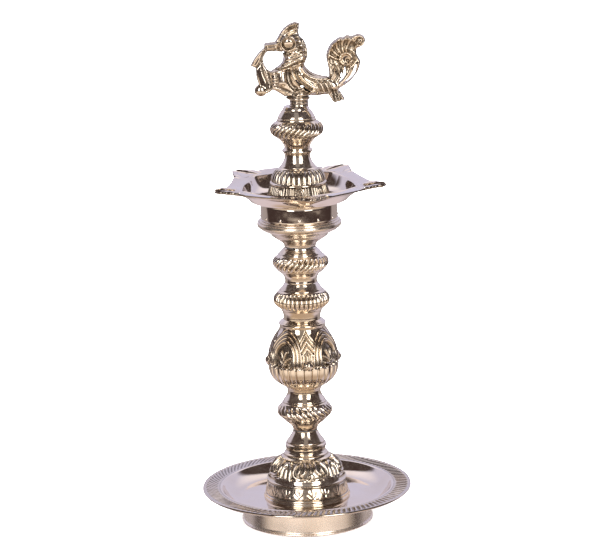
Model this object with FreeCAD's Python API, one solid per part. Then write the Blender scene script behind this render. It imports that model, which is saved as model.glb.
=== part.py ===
import FreeCAD, Part
import os
from math import cos, pi, radians, sin

V = FreeCAD.Vector

# A standing oil lamp (samai) turned and cast in brass.  The origin is the
# centre of the ring foot's underside, +Z runs up the stem, and the bird on top
# looks along -X.  Every length is in millimetres and every angle in degrees.

# ---- Driving dimensions --------------------------------------------------
# Screw joints between the four sections of the lamp (3/8 inch, 16 to the inch)
THREAD_R = 4.76
THREAD_RUN = 0.05            # radial clearance of a spigot in its tapped bore
ROD_HOLE_R = 5.0             # plain hole that a rod passes through
SPIGOT = 8.0                 # threaded length that enters the next section
SEAL = 0.8                   # thickness of the washers between sections
NUT_FLATS = 14.3
FINIAL_ROD_R = 3.0

# Base: ring foot, drip dish and foot bell
FOOT_R = 45.5
FOOT_WALL = 1.6
DISH_R = 73.5
DISH_SHEET = 1.6
DISH_FLOOR = 16.0            # height of the dish's upper face round the bell
DISH_FLAT_R = 46.0
BAND_R = 60.0                # inner edge of the flat border band
BAND_Z = 24.0
BELL_LIP_R = 30.4
BELL_TOP = 64.4

# Stem: four castings clamped on one rod
STEM_BOTTOM = BELL_TOP + SEAL
VASE_BOTTOM = 94.9
VASE_TOP = 146.9
VASE_BOSS_Z = 116.2
VASE_BOSS_REACH = 27.0
VASE_BOSSES = 4
VASE_FIRST_BOSS = 277.5      # angle of the leaf and bud nearest the front
FLUTED_TOP = 172.9
STEM_TOP = 195.9
LOCKNUT_HEIGHT = 3.8

# Oil tray with its cup underneath
CUP_BOTTOM = STEM_TOP + SEAL
FLANGE_R = 29.5
DRUM_R = 26.6
DRUM_WALL = 2.2
DRUM_BOTTOM = 215.9
WELL_FLOOR = 226.0
WELL_R = 34.0
WELL_EDGE = 238.8            # height of the rim where it drops into the well
TRAY_PLANE = 240.8           # height of the rim at the spout tips
SPOUT_R = 62.1
SPOUT_ANGLES = (279.0, 347.0, 416.0, 497.0, 563.0)    # cut by hand, so not quite even
NOTCH_R = 48.0
GROOVE_R = 3.4               # radius of the wick groove down each spout
GROOVE_DEPTH = 1.3

# Finial: bell, knop and bird
FINIAL_BOTTOM = WELL_FLOOR + SEAL
FINIAL_BELL_TOP = 265.0
FINIAL_KNOP_TOP = 294.0
STUB_R = 6.9
STUB_OFFSET = 2.1            # the bird's stub stands a little off the axis
BODY_HALF = 6.5
HEAD_HALF = 5.6
EYE_HALF = 6.4
CREST_HALF = 3.2
TAIL_HALF = 4.4
VINE_HALF = 2.7
VINE_BALL_R = 4.4


# ---- Geometry helpers ----------------------------------------------------
class Outline:
    """An outline in the X-Z plane, drawn point by point and then closed."""

    def __init__(self, x, z):
        self.start = V(x, 0, z)
        self.end = self.start
        self.edges = []

    def line(self, x, z):
        point = V(x, 0, z)
        self.edges.append(Part.makeLine(self.end, point))
        self.end = point
        return self

    def arc(self, through_x, through_z, x, z):
        point = V(x, 0, z)
        through = V(through_x, 0, through_z)
        self.edges.append(Part.Arc(self.end, through, point).toShape())
        self.end = point
        return self

    def curve(self, *points):
        knots = [self.end] + [V(x, 0, z) for x, z in points]
        spline = Part.BSplineCurve()
        spline.interpolate(knots)
        self.edges.append(spline.toShape())
        self.end = knots[-1]
        return self

    def face(self):
        if self.end.distanceToPoint(self.start) > 1e-6:
            self.line(self.start.x, self.start.z)
        return Part.Face(Part.Wire(self.edges))

    def turned(self):
        """Revolve the outline round the lamp's axis; X is then a radius."""
        return self.face().revolve(V(0, 0, 0), V(0, 0, 1), 360)

    def plate(self, half_thickness):
        """Extrude the outline evenly to both sides of the X-Z plane."""
        solid = self.face().extrude(V(0, 2 * half_thickness, 0))
        solid.translate(V(0, -half_thickness, 0))
        return solid


def cylinder(radius, bottom, top):
    return Part.makeCylinder(radius, top - bottom, V(0, 0, bottom))


def ring(inner, outer, bottom, top):
    return cylinder(outer, bottom, top).cut(cylinder(inner, bottom, top))


def hex_nut(bottom, top, bore):
    corner = NUT_FLATS / 2 / cos(radians(30))
    turns = [radians(60 * k) for k in range(7)]
    points = [V(corner * cos(a), corner * sin(a), bottom) for a in turns]
    prism = Part.Face(Part.makePolygon(points)).extrude(V(0, 0, top - bottom))
    return prism.cut(cylinder(bore, bottom, top))


def threaded_rod(radius, bottom, top):
    """A rod with a small chamfer on both ends; the thread is a plain cylinder."""
    chamfer = 0.7
    rod = Outline(0, bottom)
    rod.line(radius - chamfer, bottom).line(radius, bottom + chamfer)
    rod.line(radius, top - chamfer).line(radius - chamfer, top).line(0, top)
    return rod.turned()


# ---- Base ----------------------------------------------------------------
def ring_foot():
    underside = DISH_FLOOR - DISH_SHEET
    inner = FOOT_R - FOOT_WALL
    flange_r = 38.0
    lip = 0.5
    foot = Outline(inner, 0)
    foot.line(FOOT_R + lip, 0).arc(FOOT_R + lip + 0.3, 0.8, FOOT_R + lip, 1.6)
    foot.line(FOOT_R, 2.0).line(FOOT_R, underside).line(flange_r, underside)
    foot.line(flange_r, underside - FOOT_WALL).line(inner, underside - FOOT_WALL)
    return foot.turned()


def base_dish():
    top, under = DISH_FLOOR, DISH_FLOOR - DISH_SHEET
    band_under = BAND_Z - DISH_SHEET
    dish = Outline(ROD_HOLE_R, top)
    dish.line(DISH_FLAT_R, top).arc(54.2, 18.0, BAND_R - 0.6, BAND_Z - 0.7)
    dish.arc(BAND_R - 0.1, BAND_Z - 0.1, BAND_R + 0.6, BAND_Z)
    dish.line(DISH_R - 1.2, BAND_Z + 0.4)
    dish.arc(DISH_R, BAND_Z - 0.5, DISH_R - 1.2, BAND_Z - 1.4)
    dish.line(BAND_R + 2.0, band_under)
    dish.arc(55.2, 16.9, DISH_FLAT_R, under).line(ROD_HOLE_R, under)
    return dish.turned()


def foot_bell():
    bell = Outline(BELL_LIP_R - 2.4, DISH_FLOOR)
    # outside: lip, engraved skirt, ring, cove, scroll band and shoulder
    bell.line(BELL_LIP_R, DISH_FLOOR).line(BELL_LIP_R, 17.2).line(29.6, 18.2)
    bell.line(29.5, 19.3).line(28.0, 29.0).arc(28.6, 29.7, 27.8, 30.4)
    bell.arc(26.9, 31.6, 26.6, 33.2).arc(24.4, 39.8, 17.6, 45.4)
    bell.line(15.7, 46.6).line(15.7, 48.0).line(14.2, 49.0)
    # ringed neck
    bell.line(14.0, 52.5).arc(14.5, 53.1, 14.0, 53.7).arc(14.5, 54.3, 14.0, 54.9)
    bell.line(13.6, 56.2).arc(10.9, 59.9, 8.7, BELL_TOP - 0.6)
    bell.line(8.7, BELL_TOP).line(ROD_HOLE_R, BELL_TOP)
    # inside
    bell.line(ROD_HOLE_R, 45.0).line(14.5, 42.5).arc(21.9, 38.3, 24.0, 32.0)
    return bell.line(26.8, 26.0).turned()


def base_stud():
    return threaded_rod(THREAD_R, 6.6, BELL_TOP + SEAL + SPIGOT)


def base_washer():
    underside = DISH_FLOOR - DISH_SHEET
    return ring(ROD_HOLE_R, 15.0, underside - 1.6, underside)


def base_nut():
    top = DISH_FLOOR - DISH_SHEET - 1.6
    return hex_nut(top - 5.0, top, THREAD_R)


def section_seal(outer, bottom):
    """A flat washer that seals the joint between two sections."""
    return ring(THREAD_R + 0.35, outer, bottom, bottom + SEAL)


# ---- Stem ----------------------------------------------------------------
def tapped_bore(bottom, rod_end, top):
    """The hole up a casting: a running fit for the spigot, then the rod's."""
    running = cylinder(THREAD_R + THREAD_RUN, bottom, rod_end)
    return running.fuse(cylinder(THREAD_R, rod_end, top))


def lower_knop():
    knop = Outline(0, STEM_BOTTOM)
    knop.line(8.7, STEM_BOTTOM).curve((9.9, 67.9), (12.3, 70.1), (17.4, 75.0))
    knop.arc(19.5, 78.5, 17.2, 82.5).curve((14.3, 86.9), (12.1, 90.6), (11.6, 92.6))
    knop.line(12.2, VASE_BOTTOM).line(0, VASE_BOTTOM)
    rod_end = STEM_BOTTOM + SPIGOT + 1.2
    return knop.turned().cut(tapped_bore(STEM_BOTTOM, rod_end, VASE_BOTTOM))


def vase_boss(angle):
    """A bud at the foot of one of the leaves between the vase's arches."""
    root = V(22.6, 0, VASE_BOSS_Z)
    bud = Part.makeCone(3.4, 1.3, VASE_BOSS_REACH - root.x, root, V(1, 0, 0))
    bud.rotate(V(0, 0, 0), V(0, 0, 1), angle)
    return bud


def vase():
    body = Outline(ROD_HOLE_R, VASE_BOTTOM)
    # outside: foot, belly, shoulder and lip
    body.line(12.2, VASE_BOTTOM).line(12.4, 95.9).arc(15.4, 97.6, 18.7, 99.9)
    body.curve((21.6, 102.6), (24.1, 107.4), (25.0, 114.5), (23.4, 125.2), (17.1, 137.4))
    body.line(16.2, 140.4).arc(16.5, 141.9, 15.4, 143.2).line(13.6, 144.3)
    body.line(12.9, 145.2).line(12.9, VASE_TOP).line(ROD_HOLE_R, VASE_TOP)
    # inside
    body.line(ROD_HOLE_R, 141.5).line(13.4, 140.0)
    body.curve((20.4, 125.2), (22.1, 114.5), (20.8, 106.5)).line(ROD_HOLE_R, 99.5)
    buds = [vase_boss(VASE_FIRST_BOSS + 360 / VASE_BOSSES * k) for k in range(VASE_BOSSES)]
    return body.turned().fuse(buds).removeSplitter()


def fluted_knop():
    knop = Outline(ROD_HOLE_R, VASE_TOP)
    knop.line(12.9, VASE_TOP).curve((13.4, 148.9), (15.3, 152.4), (18.4, 155.0))
    knop.arc(19.8, 158.5, 18.1, 162.5).curve((15.5, 165.3), (12.6, 168.9), (11.3, 171.4))
    knop.line(11.2, FLUTED_TOP).line(ROD_HOLE_R, FLUTED_TOP)
    return knop.turned()


def twisted_knop():
    seat = STEM_TOP - LOCKNUT_HEIGHT - 0.7
    seat_r = 8.7
    knop = Outline(THREAD_R, FLUTED_TOP)
    knop.line(11.3, FLUTED_TOP).curve((12.2, 175.8), (15.5, 178.9), (18.7, 182.4))
    knop.arc(19.8, 185.2, 18.4, 188.0).curve((16.1, 190.2), (12.9, 193.8), (11.2, 195.2))
    knop.line(10.9, STEM_TOP).line(seat_r, STEM_TOP).line(seat_r, seat)
    return knop.line(THREAD_R, seat).turned()


def stem_rod():
    return threaded_rod(THREAD_R, STEM_BOTTOM + SPIGOT + 1.5, CUP_BOTTOM + SPIGOT)


def stem_locknut():
    bottom = STEM_TOP - LOCKNUT_HEIGHT - 0.7
    return hex_nut(bottom, bottom + LOCKNUT_HEIGHT, THREAD_R)


# ---- Tray ----------------------------------------------------------------
def tray_cup():
    stud_end = CUP_BOTTOM + SPIGOT + 0.8
    boss_top = 210.0
    register_r = DRUM_R - DRUM_WALL
    cup = Outline(0, CUP_BOTTOM)
    # outside: stepped flare and flange
    cup.line(11.2, CUP_BOTTOM).curve((12.5, 198.7), (16.4, 201.6), (20.3, 204.4))
    cup.line(20.8, 205.8).curve((23.1, 207.0), (26.0, 208.4), (28.3, 210.2))
    cup.arc(FLANGE_R, 212.6, 28.0, 215.2).line(27.4, DRUM_BOTTOM)
    # top: the seat and the register that centres the drum, then the hollow
    cup.line(register_r, DRUM_BOTTOM).line(register_r, DRUM_BOTTOM + 2.0)
    cup.line(register_r - 2.0, DRUM_BOTTOM + 2.0).line(register_r - 2.0, 213.2)
    cup.line(14.0, boss_top).line(0, boss_top)
    return cup.turned().cut(tapped_bore(CUP_BOTTOM, stud_end, boss_top))


def directions(angle):
    """The direction at an angle round the tray and the direction across it."""
    turn = radians(angle)
    return V(cos(turn), sin(turn), 0), V(-sin(turn), cos(turn), 0)


def star_outline():
    """The tray seen from above: leaf-shaped spouts joined by hollow sides."""
    tip_half, shoulder_half, cusp_half = 2.2, 6.8, 12.0
    shoulder_r, cusp_r = 56.5, 50.5
    edges = []
    next_angles = SPOUT_ANGLES[1:] + (SPOUT_ANGLES[0] + 360,)
    for angle, next_angle in zip(SPOUT_ANGLES, next_angles):
        along, across = directions(angle)
        next_along, next_across = directions(next_angle)
        right_tip = along * (SPOUT_R - 0.6) - across * tip_half
        left_tip = along * (SPOUT_R - 0.6) + across * tip_half
        shoulder = along * shoulder_r + across * shoulder_half
        cusp = along * cusp_r + across * cusp_half
        notch = directions((angle + next_angle) / 2)[0] * NOTCH_R
        next_cusp = next_along * cusp_r - next_across * cusp_half
        next_shoulder = next_along * shoulder_r - next_across * shoulder_half
        next_tip = next_along * (SPOUT_R - 0.6) - next_across * tip_half
        edges.append(Part.Arc(right_tip, along * SPOUT_R, left_tip).toShape())
        for points in ([left_tip, shoulder, cusp], [cusp, notch, next_cusp],
                       [next_cusp, next_shoulder, next_tip]):
            edges.append(Part.Arc(*points).toShape())
    return Part.Face(Part.Wire(edges))


def oil_tray():
    inner_r = DRUM_R - DRUM_WALL
    # one turned casting: drum, bowl and a rim that thins towards the spouts
    bowl = Outline(ROD_HOLE_R, WELL_FLOOR)
    bowl.line(inner_r - 0.4, WELL_FLOOR).arc(26.6, 227.6, 28.2, 230.2)
    bowl.arc(29.6, 232.6, 31.6, 234.2).arc(33.2, 236.0, WELL_R, WELL_EDGE)
    bowl.line(SPOUT_R + 1, TRAY_PLANE).line(SPOUT_R + 1, TRAY_PLANE - 1.4)
    bowl.line(43.0, 235.9).arc(38.6, 234.0, 34.2, 229.6).arc(29.6, 226.9, DRUM_R, 223.6)
    bowl.line(DRUM_R, DRUM_BOTTOM).line(inner_r, DRUM_BOTTOM).line(inner_r, WELL_FLOOR - 3)
    casting = bowl.line(ROD_HOLE_R, WELL_FLOOR - 2.4).turned()
    # trim the rim to the star
    star = star_outline()
    star.translate(V(0, 0, DRUM_BOTTOM))
    casting = casting.common(star.extrude(V(0, 0, 40)))
    # a wick groove down each spout
    for angle in SPOUT_ANGLES:
        along = directions(angle)[0]
        start = along * WELL_R + V(0, 0, WELL_EDGE + GROOVE_R - GROOVE_DEPTH)
        rise = (TRAY_PLANE - WELL_EDGE) / (SPOUT_R - WELL_R)
        groove = Part.makeCylinder(GROOVE_R, 32, start, along + V(0, 0, rise))
        casting = casting.cut(groove)
    return casting


def tray_stud():
    return threaded_rod(THREAD_R, CUP_BOTTOM + SPIGOT + 1.1, 250.0)


def tray_washer():
    return ring(ROD_HOLE_R, 12.0, WELL_FLOOR, WELL_FLOOR + 1.2)


def tray_nut():
    bottom = WELL_FLOOR + 1.2
    return hex_nut(bottom, bottom + 6.5, THREAD_R)


# ---- Finial --------------------------------------------------------------
def upper_bell():
    hub = 241.6
    bore_top = 252.0
    rod_bottom = 255.0
    bell = Outline(20.6, FINIAL_BOTTOM)
    # outside: panelled skirt, ring, fluted shoulder, neck and lip
    bell.line(23.0, FINIAL_BOTTOM).line(23.0, 228.2).arc(21.7, 233.0, 19.3, 240.4)
    bell.arc(19.6, 241.2, 18.7, 242.0).arc(17.4, 247.6, 13.9, 251.2)
    bell.arc(9.9, 256.4, 8.9, 260.2).line(9.9, 261.9).arc(10.8, 263.4, 9.9, 264.6)
    bell.line(9.4, FINIAL_BELL_TOP).line(FINIAL_ROD_R, FINIAL_BELL_TOP)
    # inside: the finial rod's hole, the tapped bore and the hollow skirt
    bell.line(FINIAL_ROD_R, rod_bottom).line(0.0, rod_bottom).line(0.0, bore_top)
    running = THREAD_R + THREAD_RUN
    bell.line(running, bore_top).line(running, hub).line(13.5, hub)
    return bell.arc(16.4, 238.8, 18.2, 233.0).turned()


def finial_knop():
    knop = Outline(FINIAL_ROD_R, FINIAL_BELL_TOP)
    knop.line(8.7, FINIAL_BELL_TOP).curve((9.2, 266.6), (12.2, 271.0), (16.6, 274.3))
    knop.arc(18.6, 278.6, 16.2, 282.4).line(13.8, 284.1)
    knop.curve((12.4, 287.6), (9.8, 291.7), (8.4, FINIAL_KNOP_TOP))
    return knop.line(FINIAL_ROD_R, FINIAL_KNOP_TOP).turned()


def finial_rod():
    return threaded_rod(FINIAL_ROD_R, 255.0, 303.0)


def bird_stub():
    return Part.makeCone(STUB_R, STUB_R + 0.3, 8.0, V(STUB_OFFSET, 0, FINIAL_KNOP_TOP))


def bird_body():
    """Breast, neck and back, up to the bands under the head."""
    body = Outline(-4.8, 300.4)
    body.curve((-9.0, 303.2), (-15.0, 306.8), (-17.4, 311.5), (-17.0, 318.4))
    body.curve((-12.5, 321.3), (-8.4, 325.2), (-7.0, 329.0)).line(-7.0, 332.0)
    body.line(8.6, 330.0).line(8.3, 326.4)
    body.curve((6.6, 322.4), (9.6, 318.4), (14.4, 315.3), (21.5, 313.9)).line(27.5, 312.0)
    body.curve((30.5, 308.0), (29.0, 304.0), (22.0, 301.4), (10.5, 300.6))
    return body.plate(BODY_HALF)


def bird_head():
    """Skull, bill and the crest that sweeps up and back."""
    skull = Part.makeCylinder(8.2, 2 * HEAD_HALF, V(-3.0, -HEAD_HALF, 336.2), V(0, 1, 0))
    eyes = Part.makeCylinder(3.4, 2 * EYE_HALF, V(-3.6, -EYE_HALF, 338.0), V(0, 1, 0))
    crest = Outline(-13.0, 338.0)
    crest.curve((-9.9, 344.0), (-4.2, 349.9), (0.8, 352.0)).line(3.8, 351.0)
    crest.curve((3.4, 347.0), (3.6, 343.4), (6.6, 339.0), (8.9, 330.0)).line(8.3, 326.4)
    crest.line(0.0, 328.0)
    bill = Outline(-20.6, 331.6)
    bill.line(-20.3, 337.4).line(-13.0, 338.0).line(-8.0, 340.0).line(-8.0, 331.0)
    bill.line(-12.5, 333.2)
    return skull.fuse([eyes, crest.plate(CREST_HALF), bill.plate(CREST_HALF)])


def bird_vine():
    """The tendril held in the bill: a leaf tip, a stem and a ball at the breast."""
    vine = Outline(-19.0, 331.6)
    vine.curve((-21.4, 326.5), (-20.2, 322.0), (-17.0, 318.4)).line(-13.0, 318.0)
    vine.line(-13.0, 307.4).curve((-17.6, 304.0), (-21.0, 302.4)).line(-25.0, 309.0)
    vine.curve((-26.4, 314.5), (-26.8, 320.8)).line(-30.3, 322.4)
    vine.curve((-26.6, 329.0), (-20.6, 334.8))
    ball = Part.makeSphere(VINE_BALL_R, V(-23.9, 0, 305.3))
    return vine.plate(VINE_HALF).fuse(ball)


def bird_tail():
    """The raised tail: a scalloped fan on its stalks and a tuft underneath."""
    fan = Outline(23.0, 313.0)
    fan.curve((22.8, 320.0), (21.4, 327.0), (25.0, 336.6), (29.6, 340.0))
    fan.arc(31.6, 340.4, 33.2, 339.6).arc(36.0, 341.4, 38.8, 340.4)
    fan.curve((43.0, 342.3), (47.4, 340.4), (48.0, 336.8), (45.4, 333.6), (42.4, 332.4))
    fan.line(42.4, 328.4).line(44.9, 323.8)
    fan.curve((43.2, 318.0), (40.2, 313.2), (35.4, 308.6), (29.8, 305.2)).line(24.0, 307.0)
    tuft = Outline(21.4, 302.4)
    tuft.line(24.6, 297.6).arc(26.4, 295.6, 28.4, 296.2).arc(30.2, 296.2, 31.2, 297.4)
    tuft.arc(33.2, 297.4, 33.0, 299.2).line(29.4, 304.8).line(24.0, 307.0)
    return fan.plate(TAIL_HALF).fuse(tuft.plate(TAIL_HALF))


def bird_finial():
    bird = bird_body().fuse([bird_stub(), bird_head(), bird_vine(), bird_tail()])
    bird = bird.cut(cylinder(FINIAL_ROD_R, FINIAL_KNOP_TOP - 1, 303.0))
    return bird.removeSplitter()


# ---- Every piece of the lamp, one STEP file each --------------------------
PIECES = {
    "ring_foot": ring_foot(),
    "base_dish": base_dish(),
    "foot_bell": foot_bell(),
    "base_stud": base_stud(),
    "base_washer": base_washer(),
    "base_nut": base_nut(),
    "stem_seal": section_seal(8.4, BELL_TOP),
    "lower_knop": lower_knop(),
    "vase": vase(),
    "fluted_knop": fluted_knop(),
    "twisted_knop": twisted_knop(),
    "stem_rod": stem_rod(),
    "stem_locknut": stem_locknut(),
    "tray_seal": section_seal(10.6, STEM_TOP),
    "tray_cup": tray_cup(),
    "oil_tray": oil_tray(),
    "tray_stud": tray_stud(),
    "tray_washer": tray_washer(),
    "tray_nut": tray_nut(),
    "finial_seal": ring(20.9, 22.8, WELL_FLOOR, FINIAL_BOTTOM),
    "upper_bell": upper_bell(),
    "finial_knop": finial_knop(),
    "finial_rod": finial_rod(),
    "bird_finial": bird_finial(),
}

os.makedirs("parts", exist_ok=True)
for name, solid in PIECES.items():
    solid.exportStep("parts/" + name + ".step")
    box = solid.BoundBox
    print(name, "solids", len(solid.Solids), "valid", solid.isValid(),
          "z %.1f to %.1f" % (box.ZMin, box.ZMax))
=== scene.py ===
from math import radians

import bpy
import numpy as np
from mathutils import Matrix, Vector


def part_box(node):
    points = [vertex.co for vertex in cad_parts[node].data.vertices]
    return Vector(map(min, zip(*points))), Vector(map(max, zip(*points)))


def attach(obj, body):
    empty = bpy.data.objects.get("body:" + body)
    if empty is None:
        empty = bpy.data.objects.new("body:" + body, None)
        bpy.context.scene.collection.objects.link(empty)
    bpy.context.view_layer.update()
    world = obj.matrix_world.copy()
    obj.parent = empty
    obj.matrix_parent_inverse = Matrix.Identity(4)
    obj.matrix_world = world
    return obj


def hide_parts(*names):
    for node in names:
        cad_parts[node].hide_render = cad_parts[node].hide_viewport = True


# The brass samai in detail: chased and cast relief on every section, real
# threads, and brass that is polished, cast or brushed.  Outlines and reliefs
# are in millimetres; PHI is the angle round the lamp, in degrees from the
# front (-Y) towards +X.

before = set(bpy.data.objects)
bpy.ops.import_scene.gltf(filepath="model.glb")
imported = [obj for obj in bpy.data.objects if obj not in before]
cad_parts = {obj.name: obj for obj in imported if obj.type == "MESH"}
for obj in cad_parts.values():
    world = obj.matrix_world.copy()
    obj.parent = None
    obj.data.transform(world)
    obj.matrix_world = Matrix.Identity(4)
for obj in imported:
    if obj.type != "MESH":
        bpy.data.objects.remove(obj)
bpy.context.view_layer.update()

MM = 0.001
FINE = 0.42                 # outline step on a face that carries relief
COARSE = 1.5                # outline step everywhere else
THREAD_R = 4.76             # 3/8 inch rods, 16 turns to the inch
THREAD_PITCH = 25.4 / 16
THREAD_DEPTH = 0.55
CHAMFER = 0.7
BORE_R = 4.81
STUD_HOLE_R = 5.0           # holes that a stud passes with room to spare
FINIAL_HOLE_R = 3.0
LEAF_PHI = 7.5              # the leaf on the vase nearest the front
SPOUT_PHIS = (9.0, 77.0, 146.0, 227.0, 293.0)
WELL_R = 34.0               # the tray's rim is drawn in to the star beyond this
SPOUT_R = 62.1
# millimetres round a piece for one degree, where its relief is drawn
BELL_DEGREE = 0.419
SKIRT_DEGREE = 0.5
VASE_DEGREE = 0.4276
DRUM_DEGREE = 0.4643
UPPER_DEGREE = 0.375
BELL_EIGHTH = 18.85         # an eighth of the way round
VASE_EIGHTH = 19.24


def seam(node_name, end=0):
    """The lowest (0) or highest (1) level of a CAD node, in millimetres."""
    return round(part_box(node_name)[end][2] / MM, 1)


FOOT_TOP = seam("ring_foot", 1)
DISH_FLOOR = seam("foot_bell")
BELL_TOP = seam("foot_bell", 1)
LOWER_KNOP_Z = seam("lower_knop")
VASE_Z = seam("vase")
FLUTED_Z = seam("fluted_knop")
TWISTED_Z = seam("twisted_knop")
STEM_TOP = seam("twisted_knop", 1)
CUP_Z = seam("tray_cup")
CUP_TOP = seam("tray_cup", 1)
TRAY_Z = seam("oil_tray")
UPPER_BELL_Z = seam("upper_bell")
ROPE_KNOP_Z = seam("finial_knop")
BIRD_Z = seam("bird_finial")


# ---- Curves
def arc_points(start, through, end):
    """The circular arc through three points."""
    a, b, c = (complex(*p) for p in (start, through, end))
    w = (c - a) / (b - a)
    centre = (b - a) * (w - abs(w) ** 2) / (2j * w.imag) + a
    first = np.angle(a - centre)
    sweep = np.angle((c - centre) / (a - centre))
    middle = np.angle((b - centre) / (a - centre))
    if sweep * middle < 0 or abs(middle) > abs(sweep):
        sweep -= np.copysign(2 * np.pi, sweep)
    turns = first + sweep * np.linspace(0, 1, 49)
    points = centre + abs(a - centre) * np.exp(1j * turns)
    return np.column_stack([points.real, points.imag])


def spline_points(knots, per_span=12):
    """A natural cubic spline through the knots."""
    knots = np.asarray(knots, float)
    count = len(knots)
    span = np.linalg.norm(np.diff(knots[:, :2], axis=0), axis=1)
    system = np.eye(count)
    rise = np.zeros_like(knots)
    for k in range(1, count - 1):
        system[k, k - 1:k + 2] = span[k - 1], 2 * (span[k - 1] + span[k]), span[k]
        rise[k] = 6 * ((knots[k + 1] - knots[k]) / span[k] - (knots[k] - knots[k - 1]) / span[k - 1])
    bend = np.linalg.solve(system, rise)
    points = [knots[:1]]
    for k in range(count - 1):
        t = np.linspace(0, 1, per_span + 1)[1:, None]
        hump = (t ** 3 - t) * bend[k + 1] + ((1 - t) ** 3 - (1 - t)) * bend[k]
        points.append((1 - t) * knots[k] + t * knots[k + 1] + hump * span[k] ** 2 / 6)
    return np.vstack(points)


class Outline:
    """A closed outline in radius and height, sampled at an even step."""

    def __init__(self, r, z):
        self.points = [np.array([r, z], float)]
        self.labels = [""]
        self.label, self.step = "", COARSE

    def face(self, label="", step=None):
        """Name the stretch that follows, so that a relief can be put on it."""
        self.label = label
        self.step = step or (FINE if label else COARSE)
        return self

    def follow(self, path):
        lengths = np.r_[0, np.cumsum(np.linalg.norm(np.diff(path, axis=0), axis=1))]
        count = max(1, round(lengths[-1] / self.step))
        stops = np.linspace(0, lengths[-1], count + 1)[1:]
        self.points += [np.array([np.interp(s, lengths, path[:, k]) for k in (0, 1)]) for s in stops]
        self.labels += [self.label] * count
        return self

    def line(self, r, z):
        return self.follow(np.array([self.points[-1], (r, z)]))

    def arc(self, through_r, through_z, r, z):
        return self.follow(arc_points(self.points[-1], (through_r, through_z), (r, z)))

    def curve(self, *knots):
        return self.follow(spline_points([self.points[-1], *knots]))


# ---- Relief shapes
def smooth(low, high, value):
    t = np.clip((value - low) / (high - low), 0, 1)
    return t * t * (3 - 2 * t)


def between(value, low, high, fade):
    """1 between low and high, fading to 0 over a length at both ends."""
    return smooth(low, low + fade, value) * (1 - smooth(high - fade, high, value))


def ridge(distance, half_width):
    """A rounded ridge, 1 on its crown."""
    return np.clip(1 - (distance / half_width) ** 2, 0, 1)


def gadroon(phi, count, shift=0.0):
    """Rounded lobes with a sharp groove between: 1 on a crown, 0 in a groove."""
    return np.abs(np.cos(np.radians(count * (phi - shift) / 2)))


def cell(phi, count, centre=0.0):
    """The angle from the nearest of `count` evenly spaced motifs."""
    width = 360 / count
    return (phi - centre + width / 2) % width - width / 2


def polyline_distance(x, z, path):
    nearest = np.full(np.broadcast(x, z).shape, np.inf)
    for (ax, az), (bx, bz) in zip(path[:-1], path[1:]):
        dx, dz = bx - ax, bz - az
        t = np.clip(((x - ax) * dx + (z - az) * dz) / (dx * dx + dz * dz + 1e-9), 0, 1)
        nearest = np.minimum(nearest, np.hypot(x - ax - t * dx, z - az - t * dz))
    return nearest


def strand(x, z, half_width, *knots):
    """A rounded strand along a smooth line through the knots."""
    return ridge(polyline_distance(x, z, spline_points(knots, 8)), half_width)


def strands(x, z, *drawn):
    """The highest of several strands, each given by its half width and knots."""
    return np.maximum.reduce([strand(x, z, *one) for one in drawn])


def turned_lines(z, *drawn):
    """Fine lines round a section, each given by height, half width and, if not 1, strength."""
    return sum((strength[0] if strength else 1) * ridge(z - at, half_width)
               for at, half_width, *strength in drawn)


def arch_level(w, z, spring, point):
    """Distance from the middle of nested arches, which a point above 0 makes pointed."""
    rise = np.maximum(z - spring, 0)
    return np.hypot(np.abs(w) + point, rise) - point


def wander(phi, z, size, seed):
    """The slow unevenness of a hand-finished casting."""
    draws = np.random.default_rng(seed)
    total = 0
    for _ in range(7):
        turns, rate, phase = draws.integers(1, 9), draws.uniform(-0.35, 0.35), draws.uniform(0, 6.3)
        total = total + np.sin(np.radians(phi) * turns + rate * z + phase)
    return size * total / 7


# ---- Meshes
def make_mesh(name, points, quads, hollow, crease=50):
    mesh = bpy.data.meshes.new(name)
    mesh.vertices.add(len(points))
    mesh.vertices.foreach_set("co", (points * MM).astype(np.float32).ravel())
    mesh.loops.add(quads.size)
    mesh.loops.foreach_set("vertex_index", quads.astype(np.int32).ravel())
    mesh.polygons.add(len(quads))
    mesh.polygons.foreach_set("loop_start", np.arange(0, quads.size, 4, dtype=np.int32))
    mesh.update(calc_edges=True)
    mesh.validate()
    mesh.attributes.new("hollow", "FLOAT", "POINT").data.foreach_set(
        "value", hollow.astype(np.float32).ravel())
    mesh.shade_smooth()
    mesh.set_sharp_from_angle(angle=radians(crease))
    piece = bpy.data.objects.new(name, mesh)
    bpy.context.collection.objects.link(piece)
    return piece


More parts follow.
